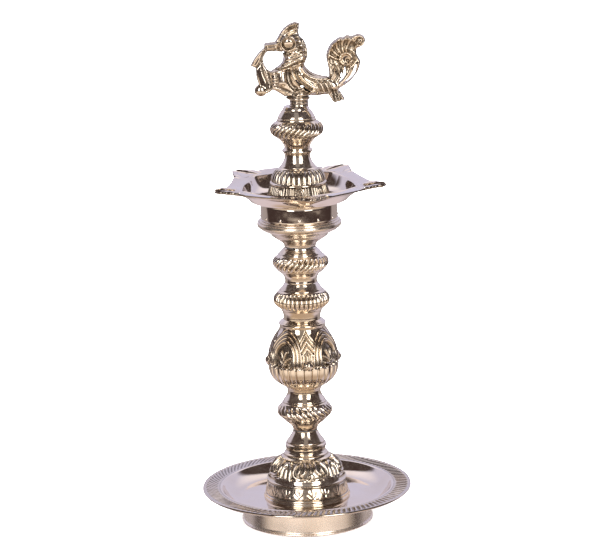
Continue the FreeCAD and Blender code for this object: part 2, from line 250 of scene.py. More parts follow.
def lathe(name, outline, reliefs, columns, stretch=None, crease=50, hollow_scale=0.9, darker_faces=None):
    """Turn an outline round the axis, pushing each named face out by its relief.

    A relief is a function of (phi, z, r) in degrees and millimetres.  The colour darkens below the face,
    fully at a depth of hollow_scale, as grime and painted shade in the recesses, and the faces named in the
    last argument are darkened further all over (or, below 0, kept clean)."""
    path = np.array(outline.points)
    labels = np.array(outline.labels)
    if np.linalg.norm(path[0] - path[-1]) < 1e-6:
        path, labels = path[1:], labels[1:]
    before, after = np.roll(path, 1, axis=0), np.roll(path, -1, axis=0)
    if np.sum(path[:, 0] * after[:, 1] - after[:, 0] * path[:, 1]) < 0:
        path, labels = path[::-1], labels[::-1]
        before, after = np.roll(path, 1, axis=0), np.roll(path, -1, axis=0)
    # corners between short steps are rounded a little
    longer = np.maximum(np.linalg.norm(path - before, axis=1), np.linalg.norm(after - path, axis=1))
    path = np.where((longer < 0.7)[:, None], 0.25 * before + 0.5 * path + 0.25 * after, path)
    along = np.roll(path, -1, axis=0) - np.roll(path, 1, axis=0)
    along /= np.linalg.norm(along, axis=1)[:, None]
    phi = np.linspace(-180, 180, columns, endpoint=False)[:, None]
    height = np.zeros((columns, len(path)))
    for label, relief in reliefs.items():
        where = labels == label
        height[:, where] = relief(phi, path[None, where, 1], path[None, where, 0])
    r = path[:, 0] + along[:, 1] * height
    z = path[:, 1] - along[:, 0] * height
    if stretch:
        r, z = stretch(phi, r, z)
    turn = np.radians(phi)
    points = np.stack([r * np.sin(turn), -r * np.cos(turn), z], axis=2).reshape(-1, 3)
    i, j = np.meshgrid(np.arange(columns), np.arange(len(path)), indexing="ij")
    i2, j2 = (i + 1) % columns, (j + 1) % len(path)
    here, there = i * len(path), i2 * len(path)
    quads = np.stack([here + j, there + j, there + j2, here + j2], axis=2)
    # colour darkens with depth below the face: painted shade in the recesses, and grime
    hollow = -height / hollow_scale
    # the faces given are darkened further all over, or kept clean below 0
    for label, amount in (darker_faces or {}).items():
        hollow[:, labels == label] += amount
    hollow = np.clip(hollow, 0, 1)
    return make_mesh(name, points, quads.reshape(-1, 4), hollow, crease)


def stand_for(piece, node_name, body, slot, material):
    """Let a piece stand for a CAD node and move with the node's body."""
    piece.data.materials.append(material)
    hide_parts(node_name)
    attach(piece, body)


def place(piece, node_name, *as_what):
    """Stand for a node, on the node's own lowest level."""
    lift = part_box(node_name)[0][2] - min(corner[2] for corner in piece.bound_box)
    piece.data.transform(Matrix.Translation((0, 0, lift)))
    stand_for(piece, node_name, *as_what)


def cast_section(name, node_name, body, outline, relief, columns, hollow_scale):
    """A cast section with one relief over all its named faces."""
    reliefs = dict.fromkeys(filter(None, outline.labels), relief)
    piece = lathe(name, outline, reliefs, columns, hollow_scale=hollow_scale)
    place(piece, node_name, body, "cast_brass", cast)


# ---- Materials
def node(tree, kind, inputs=None, **settings):
    made = tree.nodes.new(kind)
    for key, value in settings.items():
        setattr(made, key, value)
    for key, value in (inputs or {}).items():
        if isinstance(value, bpy.types.NodeSocket):
            tree.links.new(value, made.inputs[key])
        else:
            made.inputs[key].default_value = value
    return made


def math(tree, operation, *values, clamp=False):
    made = node(tree, "ShaderNodeMath", dict(enumerate(values)), operation=operation, use_clamp=clamp)
    return made.outputs[0]


def noise(tree, where, scale, detail=2.0, roughness=0.5):
    made = node(tree, "ShaderNodeTexNoise",
                {"Vector": where, "Scale": scale, "Detail": detail, "Roughness": roughness})
    return made.outputs["Fac"]


def remap(tree, value, low, high, to_low=0.0, to_high=1.0):
    made = node(tree, "ShaderNodeMapRange",
                {"Value": value, "From Min": low, "From Max": high, "To Min": to_low, "To Max": to_high},
                interpolation_type="SMOOTHSTEP")
    return made.outputs[0]


def mix(tree, factor, a, b):
    return node(tree, "ShaderNodeMix", {0: factor, 6: a, 7: b}, data_type="RGBA").outputs[2]


def turned_coordinates(tree, where):
    """Radius and height only, so that what is drawn on them runs in rings."""
    parts = node(tree, "ShaderNodeSeparateXYZ", {0: where})
    x, y, z = parts.outputs
    squares = math(tree, "MULTIPLY", x, x), math(tree, "MULTIPLY", y, y)
    radius = math(tree, "SQRT", math(tree, "ADD", *squares))
    return node(tree, "ShaderNodeCombineXYZ", {0: radius, 2: z}).outputs[0]


def new_material(name):
    """A material, its node tree, its shader and the object's coordinates."""
    material = bpy.data.materials.new(name)
    material.use_nodes = True
    tree = material.node_tree
    where = node(tree, "ShaderNodeTexCoord").outputs["Object"]
    return material, tree, tree.nodes["Principled BSDF"], where


def brass(name, bright, warm, grime_and_shade, roughness, uneven, wobble, rings, pits, grime_and_shade_amount=0.8):
    """Brass with slow colour drift, recesses darkened by grime and painted shade, polishing marks and
    casting wobble.
    """
    material, tree, shader, where = new_material(name)
    drift = noise(tree, where, 38, 3)
    cloud = noise(tree, where, 210, 5, 0.6)
    speck = noise(tree, where, 1600, 3, 0.6)
    turned = noise(tree, turned_coordinates(tree, where), 900, 2)
    tone = mix(tree, remap(tree, drift, 0.35, 0.68), (*bright, 1), (*warm, 1))
    tone = mix(tree, remap(tree, cloud, 0.55, 0.85, 0, 0.35), tone, (*warm, 1))
    # dirt and tarnish stay where polishing doesn't reach, and the same darkening in hollows and cavities is
    # painted shade as well
    cavity = remap(tree, node(tree, "ShaderNodeNewGeometry").outputs["Pointiness"], 0.5, 0.43)
    hollow = node(tree, "ShaderNodeAttribute", attribute_name="hollow").outputs["Fac"]
    deep = math(tree, "ADD", math(tree, "MULTIPLY", remap(tree, hollow, 0.25, 1.0), 0.75),
                math(tree, "MULTIPLY", cavity, 0.55), clamp=True)
    broken = math(tree, "MULTIPLY", deep, remap(tree, cloud, 0.25, 0.6, 0.55, 1.0))
    grime_and_shade_mask = math(tree, "MULTIPLY", broken, grime_and_shade_amount)
    # the base colour mixes towards the dark brown in recesses: grime and painted shade
    tree.links.new(mix(tree, grime_and_shade_mask, tone, (*grime_and_shade, 1)), shader.inputs["Base Color"])
    shader.inputs["Metallic"].default_value = 1.0
    shine = math(tree, "ADD", remap(tree, cloud, 0.3, 0.75, roughness, roughness + uneven),
                 math(tree, "MULTIPLY", grime_and_shade_mask, 0.14))
    fine = math(tree, "MULTIPLY", math(tree, "SUBTRACT", speck, 0.5), 0.1)
    tree.links.new(math(tree, "ADD", shine, fine, clamp=True), shader.inputs["Roughness"])
    # heights in millimetres
    wave = math(tree, "MULTIPLY", noise(tree, where, 75, 2), wobble)
    ripple = math(tree, "MULTIPLY", cloud, wobble * 0.14)
    ring = math(tree, "MULTIPLY", turned, rings)
    pit = math(tree, "MULTIPLY", speck, pits)
    height = math(tree, "ADD", math(tree, "ADD", wave, ripple), math(tree, "ADD", ring, pit))
    bump = node(tree, "ShaderNodeBump", {"Height": height, "Strength": 1.0, "Distance": MM})
    tree.links.new(bump.outputs[0], shader.inputs["Normal"])
    return material


def rubber(name):
    material, tree, shader, where = new_material(name)
    grain = noise(tree, where, 1100, 4, 0.65)
    dust = noise(tree, where, 160, 4)
    tone = mix(tree, remap(tree, dust, 0.35, 0.75), (0.012, 0.012, 0.013, 1), (0.06, 0.055, 0.05, 1))
    tree.links.new(tone, shader.inputs["Base Color"])
    tree.links.new(remap(tree, grain, 0.3, 0.7, 0.6, 0.85), shader.inputs["Roughness"])
    bump = node(tree, "ShaderNodeBump", {"Height": grain, "Strength": 0.5, "Distance": 0.03 * MM})
    tree.links.new(bump.outputs[0], shader.inputs["Normal"])
    return material


# dark brown for grime, also used as painted shade in the recesses
GRIME_AND_SHADE = (0.085, 0.058, 0.038)
polished = brass("polished_brass", (0.86, 0.775, 0.69), (0.84, 0.74, 0.63), GRIME_AND_SHADE, 0.05,
                 uneven=0.05, wobble=0.10, rings=0.003, pits=0.002)
cast = brass("cast_brass", (0.85, 0.765, 0.67), (0.80, 0.68, 0.54), GRIME_AND_SHADE, 0.075,
             uneven=0.08, wobble=0.18, rings=0.002, pits=0.005, grime_and_shade_amount=0.85)
worn = brass("worn_brass", (0.79, 0.70, 0.615), (0.76, 0.65, 0.53), GRIME_AND_SHADE, 0.19,
             uneven=0.08, wobble=0.12, rings=0.005, pits=0.003)
satin = brass("satin_brass", (0.90, 0.80, 0.72), (0.88, 0.77, 0.67), GRIME_AND_SHADE, 0.25,
              uneven=0.04, wobble=0.06, rings=0.006, pits=0.0008, grime_and_shade_amount=0.5)
turned_brass = brass("turned_brass", (0.82, 0.66, 0.38), (0.76, 0.58, 0.30), GRIME_AND_SHADE, 0.2,
                     uneven=0.1, wobble=0.02, rings=0.012, pits=0.003, grime_and_shade_amount=0.5)
plated = brass("plated_steel", (0.62, 0.63, 0.65), (0.55, 0.54, 0.52), (0.12, 0.08, 0.05), 0.24,
               uneven=0.16, wobble=0.03, rings=0.008, pits=0.006, grime_and_shade_amount=0.6)
seal_rubber = rubber("seal_rubber")


# ---- Base
def foot_shape():
    foot = Outline(43.9, 0).face("lip", 0.4)
    foot.line(46.0, 0).arc(46.3, 0.8, 46.0, 1.6).line(45.5, 2.0)
    foot.face("wall", 0.8).line(45.5, FOOT_TOP)
    return foot.face().line(38.0, FOOT_TOP).line(38.0, 12.8).line(43.9, 12.8)


def dish_shape():
    dish = Outline(STUD_HOLE_R, DISH_FLOOR)
    dish.face("floor", 1.8).line(46.0, DISH_FLOOR).arc(54.2, 18.0, 59.4, 23.3)
    dish.face("band", 0.56).arc(59.9, 23.9, 60.6, 24.0).line(72.3, 24.4)
    dish.face("lip", 0.5).arc(73.5, 23.5, 72.3, 22.6)
    dish.face("", 3.0).line(62.0, 22.4).arc(55.2, 16.9, 46.0, FOOT_TOP)
    return dish.line(STUD_HOLE_R, FOOT_TOP)


def dish_band(phi, z, r):
    """A chased rope between two lines, uneven as hand work is."""
    lean = (0.3 + 0.8 * smooth(75, 130, np.abs(cell(phi, 1, 50)))) * (r - 66.8)
    strokes = gadroon(phi + lean + wander(phi, r, 1.2, 3), 110)
    struck = 0.55 + 0.45 * smooth(130, 60, np.abs(cell(phi, 1, 40)))
    rope = between(r, 62.4, 71.4, 1.0) * (struck + wander(phi, r, 0.35, 5))
    lines = ridge(r - 61.4, 0.8) + ridge(r - 72.3, 0.5)
    return -rope * (1 - strokes ** 1.3) - 0.2 * between(r, 61.6, 72.3, 0.5) - 0.3 * lines


def dish_floor(phi, z, r):
    """Spun metal that isn't quite flat."""
    return wander(phi, r, 0.4, 11) * smooth(8, 40, r) * smooth(59, 54, r)


def bell_shape():
    bell = Outline(28.0, DISH_FLOOR).face("lip", 0.4)
    bell.line(30.4, DISH_FLOOR).line(30.4, 17.2).line(29.6, 18.2).line(29.5, 19.3)
    bell.face("skirt").line(27.4, 29.0).face("ring", 0.35).arc(28.0, 29.6, 27.3, 30.2)
    bell.face("cove", 0.6).arc(26.6, 31.5, 26.4, 33.2).face("scroll").arc(24.4, 39.8, 17.6, 45.4)
    bell.face("neck", 0.4).line(15.7, 46.6).line(15.7, 48.0).line(14.2, 49.0).line(14.0, 52.5)
    bell.arc(14.8, 53.1, 14.0, 53.7).arc(14.7, 54.3, 14.0, 54.9)
    bell.line(13.6, 56.2).arc(10.9, 59.9, 8.7, 63.8).line(8.7, BELL_TOP)
    bell.face("", 2.5).line(STUD_HOLE_R, BELL_TOP).line(STUD_HOLE_R, 45.0).line(14.5, 42.5)
    return bell.arc(21.9, 38.3, 24.0, 32.0).line(26.8, 26.0)


def bell_scrolls(phi, z, r):
    """Four nests of arches, and between them two leaf curls that face each other."""
    u = np.abs(cell(phi, 4, LEAF_PHI)) * BELL_DEGREE
    w = BELL_EIGHTH - u
    level = arch_level(w, z, 40.6, 0.3)
    nest = np.maximum(ridge(level - 0.2, 1.2), ridge(level - 3.6, 1.25))
    curl = strands(u, z, (1.0, (8.6, 44.2), (8.1, 41.4), (9.2, 38.6)),
                   (1.2, (9.4, 45.6), (11.9, 43.2), (12.7, 39.6), (11.2, 36.4), (7.4, 34.9), (3.2, 34.8)),
                   (1.3, (4.6, 45.4), (4.0, 41.6), (5.2, 39.0), (6.9, 37.4)))
    divider = np.maximum(ridge(u, 1.0) * smooth(38.0, 39.5, z),
                         smooth(2.6, 1.6, u + 0.9 * np.abs(z - 36.9)))
    foot_line = ridge(z - 34.0 - 0.7 * gadroon(phi, 24, LEAF_PHI), 0.8)
    raised = np.maximum.reduce([nest, curl, divider, foot_line])
    return -1.4 * (1 - raised) * between(z, 33.4, 46.2, 0.9) + wander(phi, z, 0.15, 17) - 0.15


def bell_skirt(phi, z, r):
    """Shallow chased sprigs between two lines."""
    u = cell(phi, 18, LEAF_PHI) * SKIRT_DEGREE
    leaves = strands(u, z, (0.6, (0.0, 21.3), (0.4, 24.0), (0.0, 27.2)),
                     (0.55, (0.2, 22.8), (1.9, 24.0), (3.0, 26.4)),
                     (0.55, (0.0, 24.0), (-1.7, 25.4), (-2.3, 27.4)),
                     (0.5, (-0.4, 21.6), (-2.1, 22.2), (-3.4, 24.2)))
    sprig = np.maximum(leaves, ridge(np.hypot(u - 3.3, z - 22.0), 0.8))
    lines = turned_lines(z, (20.1, 0.45), (28.3, 0.4))
    return 0.2 * sprig * between(z, 20.4, 28.0, 0.5) - 0.25 * lines - 0.2 + wander(phi, z, 0.3, 19)


def neck_lines(phi, z, r):
    lines = turned_lines(z, (50.1, 0.45), (53.7, 0.5), (55.7, 0.6), (47.3, 0.3, 0.6))
    return -0.6 * lines + wander(phi, z, 0.08, 23) - 0.08


foot = lathe("foot_ring", foot_shape(), {
    "wall": lambda phi, z, r: wander(phi, z, 0.22, 29) - 0.22,
    "lip": lambda phi, z, r: wander(phi, 0, 0.12, 31) - 0.12}, columns=480)
place(foot, "ring_foot", "base", "satin_brass", satin)
dish = lathe("drip_dish", dish_shape(), {"band": dish_band, "floor": dish_floor}, columns=1050,
             hollow_scale=0.6, darker_faces={"band": 0.2, "lip": 0.5, "floor": -1.0})
place(dish, "base_dish", "base", "polished_brass", polished)
bell = lathe("base_bell", bell_shape(), dict(scroll=bell_scrolls, skirt=bell_skirt, neck=neck_lines),
             columns=520, hollow_scale=1.3, darker_faces={"skirt": 0.45})
place(bell, "foot_bell", "base", "cast_brass", cast)


# ---- Stem
def lower_knop_shape():
    knop = Outline(BORE_R, LOWER_KNOP_Z).face("", 1.0).line(8.7, LOWER_KNOP_Z)
    knop.face("below", 0.5).curve((9.9, 67.9), (12.3, 70.1), (17.4, 75.0))
    knop.face("lobes").arc(19.5, 78.5, 17.2, 82.5)
    knop.face("above", 0.4).curve((14.3, 86.9), (12.1, 90.6), (11.6, 92.6)).line(12.2, VASE_Z)
    return knop.face("", 2.5).line(BORE_R, VASE_Z).line(BORE_R, LOWER_KNOP_Z)


def lower_lobes(phi, z, r):
    """Leaning lobes, worn almost smooth towards the left."""
    lean = 2.3 * (z - 79.0)
    worn = 0.55 + 0.45 * smooth(-70, -20, cell(phi, 1)) + wander(phi, z, 0.35, 37)
    edge = between(z, 74.2, 84.4, 2.4)
    lobes = gadroon(phi + lean + wander(phi, z, 2.5, 41), 26) ** 0.8
    return -1.05 * worn * edge * (1 - lobes)


def lower_lines(phi, z, r):
    lines = turned_lines(z, (85.2, 0.45), (86.4, 0.3, 0.8), (93.6, 0.35), (72.8, 0.35))
    return lower_lobes(phi, z, r) - 0.35 * lines


def vase_shape():
    vase = Outline(STUD_HOLE_R, VASE_Z).face("", 1.5).line(12.2, VASE_Z).line(12.4, 95.9)
    vase.face("body", 0.5).arc(15.4, 97.6, 18.7, 99.9)
    vase.curve((21.6, 102.6), (24.1, 107.4), (25.0, 114.5), (23.4, 125.2), (17.1, 137.4)).line(16.2, 140.4)
    vase.face("rim", 0.4).arc(16.5, 141.9, 15.4, 143.2).line(13.6, 144.3).line(12.9, 145.2)
    vase.line(12.9, FLUTED_Z).face("", 2.5).line(STUD_HOLE_R, FLUTED_Z).line(STUD_HOLE_R, 141.5)
    vase.line(13.4, 140.0).curve((20.4, 125.2), (22.1, 114.5), (20.8, 106.5))
    return vase.line(STUD_HOLE_R, 99.5)


def vase_body(phi, z, r):
    """Arches round four windows, leaves between them, and a row of petals."""
    u = cell(phi, 4, LEAF_PHI) * VASE_DEGREE
    w = VASE_EIGHTH - np.abs(u)
    upper = smooth(113.8, 115.0, z)
    level = arch_level(w, z, 122.0, 1.6)
    bands = np.maximum.reduce([ridge(level - 8.9, 1.25), 0.85 * ridge(level - 11.7, 1.25),
                               ridge(level - 14.5, 1.25)])
    in_window = smooth(8.3, 7.4, level)
    palmette = strands(w, z, (1.1, (0.0, 115.6), (2.8, 119.6), (6.6, 121.6)),
                       (1.1, (0.0, 115.6), (5.0, 116.8)), (1.1, (0.0, 118.0), (0.6, 121.6), (2.4, 125.4)))
    palmette = np.maximum(palmette, ridge(np.hypot(w, z - 116.0), 2.2))
    frame_height = -1.3 * (1 - bands) * (1 - in_window) - in_window * (2.3 - 1.6 * palmette)
    # the leaf between two nests of arches, with a plain facet above it
    leaf_top = 139.0 - 1.2 * np.abs(u)
    across = 3.1 + 0.17 * np.maximum(z - 116, 0)
    leaf = smooth(across + 0.5, across - 0.2, np.abs(u)) * smooth(leaf_top + 0.2, leaf_top - 0.5, z)
    chevrons = np.maximum.reduce([ridge((leaf_top - z - drop) * 0.64, 1.1) for drop in (1.8, 6.2, 10.6)])
    ribs = np.maximum(ridge(u, 1.1), ridge(np.abs(u) - 3.0, 1.0)) * smooth(126.0, 122.5, z)
    leaf_height = -1.25 * (1 - np.maximum(chevrons, ribs))
    facet = smooth(15.8, 16.6, level) * smooth(leaf_top - 0.2, leaf_top + 0.8, z)
    above = frame_height * (1 - leaf) * (1 - facet) + leaf_height * leaf - 0.45 * facet
    above = above * smooth(140.9, 139.9, z)
    # petals below, each with a raised edge and a soft middle
    side = np.abs(cell(phi, 28, LEAF_PHI)) / 6.43
    lip = 114.8 - 2.4 * side ** 2.2
    petals = -0.85 * smooth(0.76, 1.0, side) * between(z, 98.2, 116.0, 2.5) - 0.25 * ridge(side - 0.58, 0.18)
    petals = petals - 1.2 * smooth(lip - 0.2, lip + 0.9, z)
    lines = -0.3 * turned_lines(z, (97.2, 0.35), (98.4, 0.35))
    return above * upper + petals * (1 - upper) + lines - 0.1


def vase_rim(phi, z, r):
    return -0.3 * turned_lines(z, (140.9, 0.3), (142.9, 0.3), (145.0, 0.3))


def vase_bud(angle):
    """Points and quads of a small cast bud where a leaf meets the petals."""
    sides = 28
    turns = np.radians(np.linspace(0, 360, sides, endpoint=False))
    profile = spline_points([(3.6, 0.0), (3.3, 0.9), (3.5, 1.8), (2.6, 3.2), (1.5, 4.0), (0.25, 4.35)], 5)
    points, quads = [], []
    for size, out in profile:
        swell = 1 + 0.12 * np.cos(5 * turns) * (size > 1)
        across, up = size * swell * np.cos(turns), size * swell * np.sin(turns)
        points.append(np.column_stack([across, np.full_like(across, -22.6 - out), 116.2 + up]))
    for start in range(0, (len(profile) - 1) * sides, sides):
        for k in range(sides):
            a, b = start + k, start + (k + 1) % sides
            quads.append((a, a + sides, b + sides, b))
    points, quads = np.vstack(points), np.array(quads)
    turn = np.radians(angle)
    turned = np.column_stack([points[:, 0] * np.cos(turn) - points[:, 1] * np.sin(turn),
                              points[:, 0] * np.sin(turn) + points[:, 1] * np.cos(turn), points[:, 2]])
    return turned, quads


def fluted_shape():
    knop = Outline(STUD_HOLE_R, FLUTED_Z).face("", 1.5).line(12.9, FLUTED_Z)
    knop.face("below", 0.5).curve((13.4, 148.9), (15.3, 152.4), (18.4, 155.0))
    knop.face("lobes").arc(19.8, 158.5, 18.1, 162.5)
    knop.face("above", 0.4).curve((15.5, 165.3), (12.6, 168.9), (11.3, 171.4)).line(11.2, TWISTED_Z)
    return knop.face("", 2.5).line(STUD_HOLE_R, TWISTED_Z)


def flutes(phi, z, r):
    edge = between(z, 153.6, 164.6, 1.1)
    ribs = gadroon(phi + wander(phi, z, 0.7, 43), 36) ** 0.85
    lines = turned_lines(z, (153.0, 0.4), (151.4, 0.35), (165.7, 0.4), (171.0, 0.35))
    return -1.45 * edge * (1 - ribs) - 0.32 * lines


def twisted_shape():
    knop = Outline(THREAD_R, TWISTED_Z).face("", 1.5).line(11.3, TWISTED_Z)
    knop.face("below", 0.5).curve((12.2, 175.8), (15.5, 178.9), (18.7, 182.4))
    knop.face("lobes").arc(19.8, 185.2, 18.4, 188.0)
    knop.face("above", 0.4).curve((16.1, 190.2), (12.9, 193.8), (11.2, 195.2)).line(10.9, STEM_TOP)
    return knop.face("", 2.0).line(8.7, STEM_TOP).line(8.7, 191.4).line(THREAD_R, 191.4)


def twists(phi, z, r):
    lean = -1.9 * (z - 185.2)
    edge = between(z, 180.8, 190.0, 1.6)
    lobes = gadroon(phi + lean + wander(phi, z, 0.9, 47), 30) ** 0.85
    lines = turned_lines(z, (191.2, 0.4), (180.2, 0.35), (194.9, 0.3))
    return -1.45 * edge * (1 - lobes) - 0.32 * lines


cast_section("stem_knop_low", "lower_knop", "stem", lower_knop_shape(), lower_lines, 420, 1.2)
urn = lathe("stem_vase", vase_shape(), {"body": vase_body, "rim": vase_rim}, columns=620, hollow_scale=1.7)
place(urn, "vase", "stem", "cast_brass", cast)
for k in range(4):
    points, quads = vase_bud(LEAF_PHI + 90 * k)
    bud = make_mesh("vase_bud_%d" % (k + 1), points, quads, np.zeros(len(points)))
    stand_for(bud, "vase", "stem", "cast_brass", cast)
cast_section("stem_knop_fluted", "fluted_knop", "stem", fluted_shape(), flutes, 560, 1.3)
cast_section("stem_knop_twisted", "twisted_knop", "stem", twisted_shape(), twists, 520, 1.3)


# ---- Tray
def from_spout(phi):
    """The angle from the nearest spout, below 0 on its left."""
    away = (phi - np.array(SPOUT_PHIS) + 180) % 360 - 180
    return np.take_along_axis(away, np.abs(away).argmin(axis=1)[:, None], axis=1)


def star_radius(phi):
    """The tray's reach: leaf-shaped spouts joined by hollow sides, less hollow at the back."""
    tip, shoulder, cusp = (61.5, 2.2), (56.5, 6.8), (50.5, 12.0)
    reach = np.full(phi.shape, SPOUT_R)
    for middle, following in zip(SPOUT_PHIS, SPOUT_PHIS[1:] + (SPOUT_PHIS[0] + 360,)):
        gap = radians(following - middle)
        depth = 53.0 if middle < 180 < following else 48.0
        mirrored = (cusp[0] * np.cos(gap) + cusp[1] * np.sin(gap),
                    cusp[0] * np.sin(gap) - cusp[1] * np.cos(gap))
        notch = (depth * np.cos(gap / 2), depth * np.sin(gap / 2))
        side = np.vstack([[(SPOUT_R, 0.0)], arc_points(tip, shoulder, cusp),
                          arc_points(cusp, notch, mirrored)])
        angles = np.degrees(np.arctan2(side[:, 1], side[:, 0]))
        turn = (phi - middle) % 360
        turn = np.minimum(turn, following - middle - turn)
        reach = np.where(turn >= 0, np.interp(turn, angles, np.hypot(side[:, 0], side[:, 1])), reach)
    return reach - 0.25 - wander(phi, 0, 0.35, 53)


def star_nicks(phi):
    """How deep the file cut into the shoulders of the spouts."""
    turn = np.abs(from_spout(phi))
    return 2.0 * ridge(turn - 13.2, 1.5) + 1.3 * ridge(turn - 8.6, 1.1) + 0.9 * ridge(turn - 5.2, 0.8)


def star_stretch(phi, r, z):
    """Draw the turned rim in to the star on its own slope, and lift its back as if it leaned."""
    beyond = np.maximum(r - WELL_R, 0)
    pull = beyond * (1 - (star_radius(phi) - WELL_R) / (SPOUT_R - WELL_R))
    r = r - pull - star_nicks(phi) * smooth(50, 59, r)
    back = np.maximum(-np.cos(np.radians(phi)), 0)
    return r, z - 0.0712 * pull + 0.042 * r * back * smooth(26, 40, r)


def tray_shape():
    tray = Outline(STUD_HOLE_R, 226.0).face("", 3.0).line(25.0, 226.0)
    tray.face("well", 0.9).arc(26.2, 226.6, 26.6, 228.0).line(27.0, 229.0)
    tray.curve((31.5, 229.9), (36.4, 232.6), (39.7, 236.6), (41.2, 238.9))
    tray.face("edge", 0.5).arc(41.6, 239.2, 42.2, 239.38)
    tray.face("rim", 0.8).line(61.7, 240.77)
    tray.face("lip", 0.45).arc(62.1, 240.1, 61.7, 239.4).face("", 2.2).line(43.0, 235.6)
    tray.face("", 1.4).arc(38.6, 233.4, 34.2, 229.6).arc(30.4, 228.0, 26.7, 227.3)
    tray.face("drum", 0.5).line(26.6, TRAY_Z).face("", 2.5).line(24.4, TRAY_Z).line(24.4, 223.0)
    return tray.line(STUD_HOLE_R, 223.6)


def tray_rim(phi, z, r):
    """A three-cornered wick trough down each spout, whose edges and tip are turned up."""
    reach = star_radius(phi)
    true_r = WELL_R + (r - WELL_R) * (reach - WELL_R) / (SPOUT_R - WELL_R)
    turn = np.radians(from_spout(phi))
    along, across = true_r * np.cos(turn), np.abs(true_r * np.sin(turn))
    half = np.interp(along, [43.5, 57.0, 62.0], [7.6, 3.2, 2.0])
    trough = smooth(half + 0.1, half - 0.4, across) * smooth(43.5, 45.0, along)
    border = np.maximum(ridge(across - half - 0.9, 0.7) * smooth(42.0, 43.0, along),
                        ridge(along - 42.6, 0.7) * smooth(half + 1.4, half + 0.8, across))
    turned_up = smooth(45, 54, along) * smooth(half - 0.4, half + 1.2, across)
    turned_up = np.maximum(turned_up, smooth(59.4, 60.8, along))
    worked = 0.4 + 0.6 * smooth(125, 110, np.abs(phi))
    height = 0.25 * border + 1.3 * turned_up - trough * (1.0 + 0.03 * (along - 44))
    return worked * height + wander(phi, r, 0.22, 59) - 0.4


def drum_beads(phi, z, r):
    u = cell(phi, 12) * DRUM_DEGREE
    bead = 0.62 * np.sqrt(ridge(np.hypot(u, z - 218.3), 0.9))
    lines = turned_lines(z, (216.5, 0.3), (226.6, 0.35, 0.8))
    return bead - 0.25 * lines + wander(phi, z, 0.14, 61) - 0.14


def cup_shape():
    cup = Outline(THREAD_R, CUP_Z).face("", 1.5).line(11.2, CUP_Z)
    cup.face("flare", 0.6).curve((12.5, 198.7), (16.4, 201.6), (20.3, 204.4)).line(20.8, 205.8)
    cup.curve((23.1, 207.0), (26.0, 208.4), (28.3, 210.2))
    cup.face("flange", 0.4).arc(29.5, 212.6, 28.0, 215.2).line(27.4, TRAY_Z)
    cup.face("", 2.0).line(24.4, TRAY_Z).line(24.4, CUP_TOP).line(22.4, CUP_TOP).line(22.4, 213.2)
    return cup.line(14.0, 210.0).line(THREAD_R, 210.0)


def cup_lines(phi, z, r):
    lines = turned_lines(z, (198.4, 0.3), (204.7, 0.5), (206.5, 0.35, 0.8))
    return -0.45 * lines + wander(phi, z, 0.25, 67) - 0.25


def flange_lines(phi, z, r):
    return -0.4 * ridge(z - 210.5, 0.45) - 0.4 * ridge(z - 214.9, 0.3) + wander(phi, 0, 0.14, 71) - 0.14


cup = lathe("tray_cup_turned", cup_shape(), {"flare": cup_lines, "flange": flange_lines}, columns=400)
place(cup, "tray_cup", "tray", "polished_brass", worn)
tray = lathe("star_tray", tray_shape(), {
    "rim": tray_rim, "drum": drum_beads, "well": lambda phi, z, r: wander(phi, z, 0.1, 73)},
    columns=800, stretch=star_stretch, hollow_scale=5.0, crease=42, darker_faces={"lip": 0.9})
place(tray, "oil_tray", "tray", "polished_brass", polished)


# ---- Finial: bell and knop
def upper_bell_shape():
    bell = Outline(20.6, UPPER_BELL_Z).face("", 1.0).line(23.0, UPPER_BELL_Z).line(23.0, 228.2)
    bell.face("skirt").arc(21.7, 233.0, 19.3, 240.4).face("ring", 0.35).arc(19.6, 241.2, 18.7, 242.0)
    bell.face("shoulder").arc(17.4, 247.6, 13.9, 251.2).face("neck", 0.45).arc(9.9, 256.4, 8.9, 260.2)
    bell.line(9.9, 261.9).arc(10.8, 263.4, 9.9, 264.6).line(9.4, ROPE_KNOP_Z)
    bell.face("", 2.5).line(FINIAL_HOLE_R, ROPE_KNOP_Z).line(FINIAL_HOLE_R, 253.0)
    bell.line(BORE_R, 252.0).line(BORE_R, 241.6)
    return bell.line(13.5, 241.6).arc(16.4, 238.8, 18.2, 233.0)


def upper_skirt(phi, z, r):
    """Eight curled petals with paired flutes between them."""
    u = cell(phi, 8, 2.0) * UPPER_DEGREE
    curl = strands(u, z, (0.75, (-2.3, 239.3), (-2.9, 235.0), (-1.6, 230.8), (0.2, 229.6),
                          (1.9, 231.0), (2.6, 235.0), (1.6, 238.6)),
                   (0.7, (-0.9, 238.4), (-1.1, 234.6), (0.3, 232.4)), (0.7, (0.9, 238.6), (1.0, 235.8)))
    ribs = np.maximum(ridge(np.abs(u) - 4.6, 0.8), ridge(np.abs(u) - 6.9, 0.8))
    raised = np.maximum(curl, ribs * smooth(229.0, 230.0, z))
    return -0.95 * (1 - raised) * between(z, 228.3, 240.6, 0.8) - 0.1


def upper_flutes(phi, z, r):
    edge = between(z, 241.6, 251.2, 1.4)
    ribs = gadroon(phi + wander(phi, z, 1.0, 79), 28, 2.0) ** 0.75
    return -1.3 * edge * (1 - ribs) - 0.3 * ridge(z - 251.0, 0.35)


def upper_neck(phi, z, r):
    lines = turned_lines(z, (252.4, 0.4), (260.6, 0.3), (262.2, 0.3))
    return -0.3 * lines + wander(phi, z, 0.1, 83) - 0.1


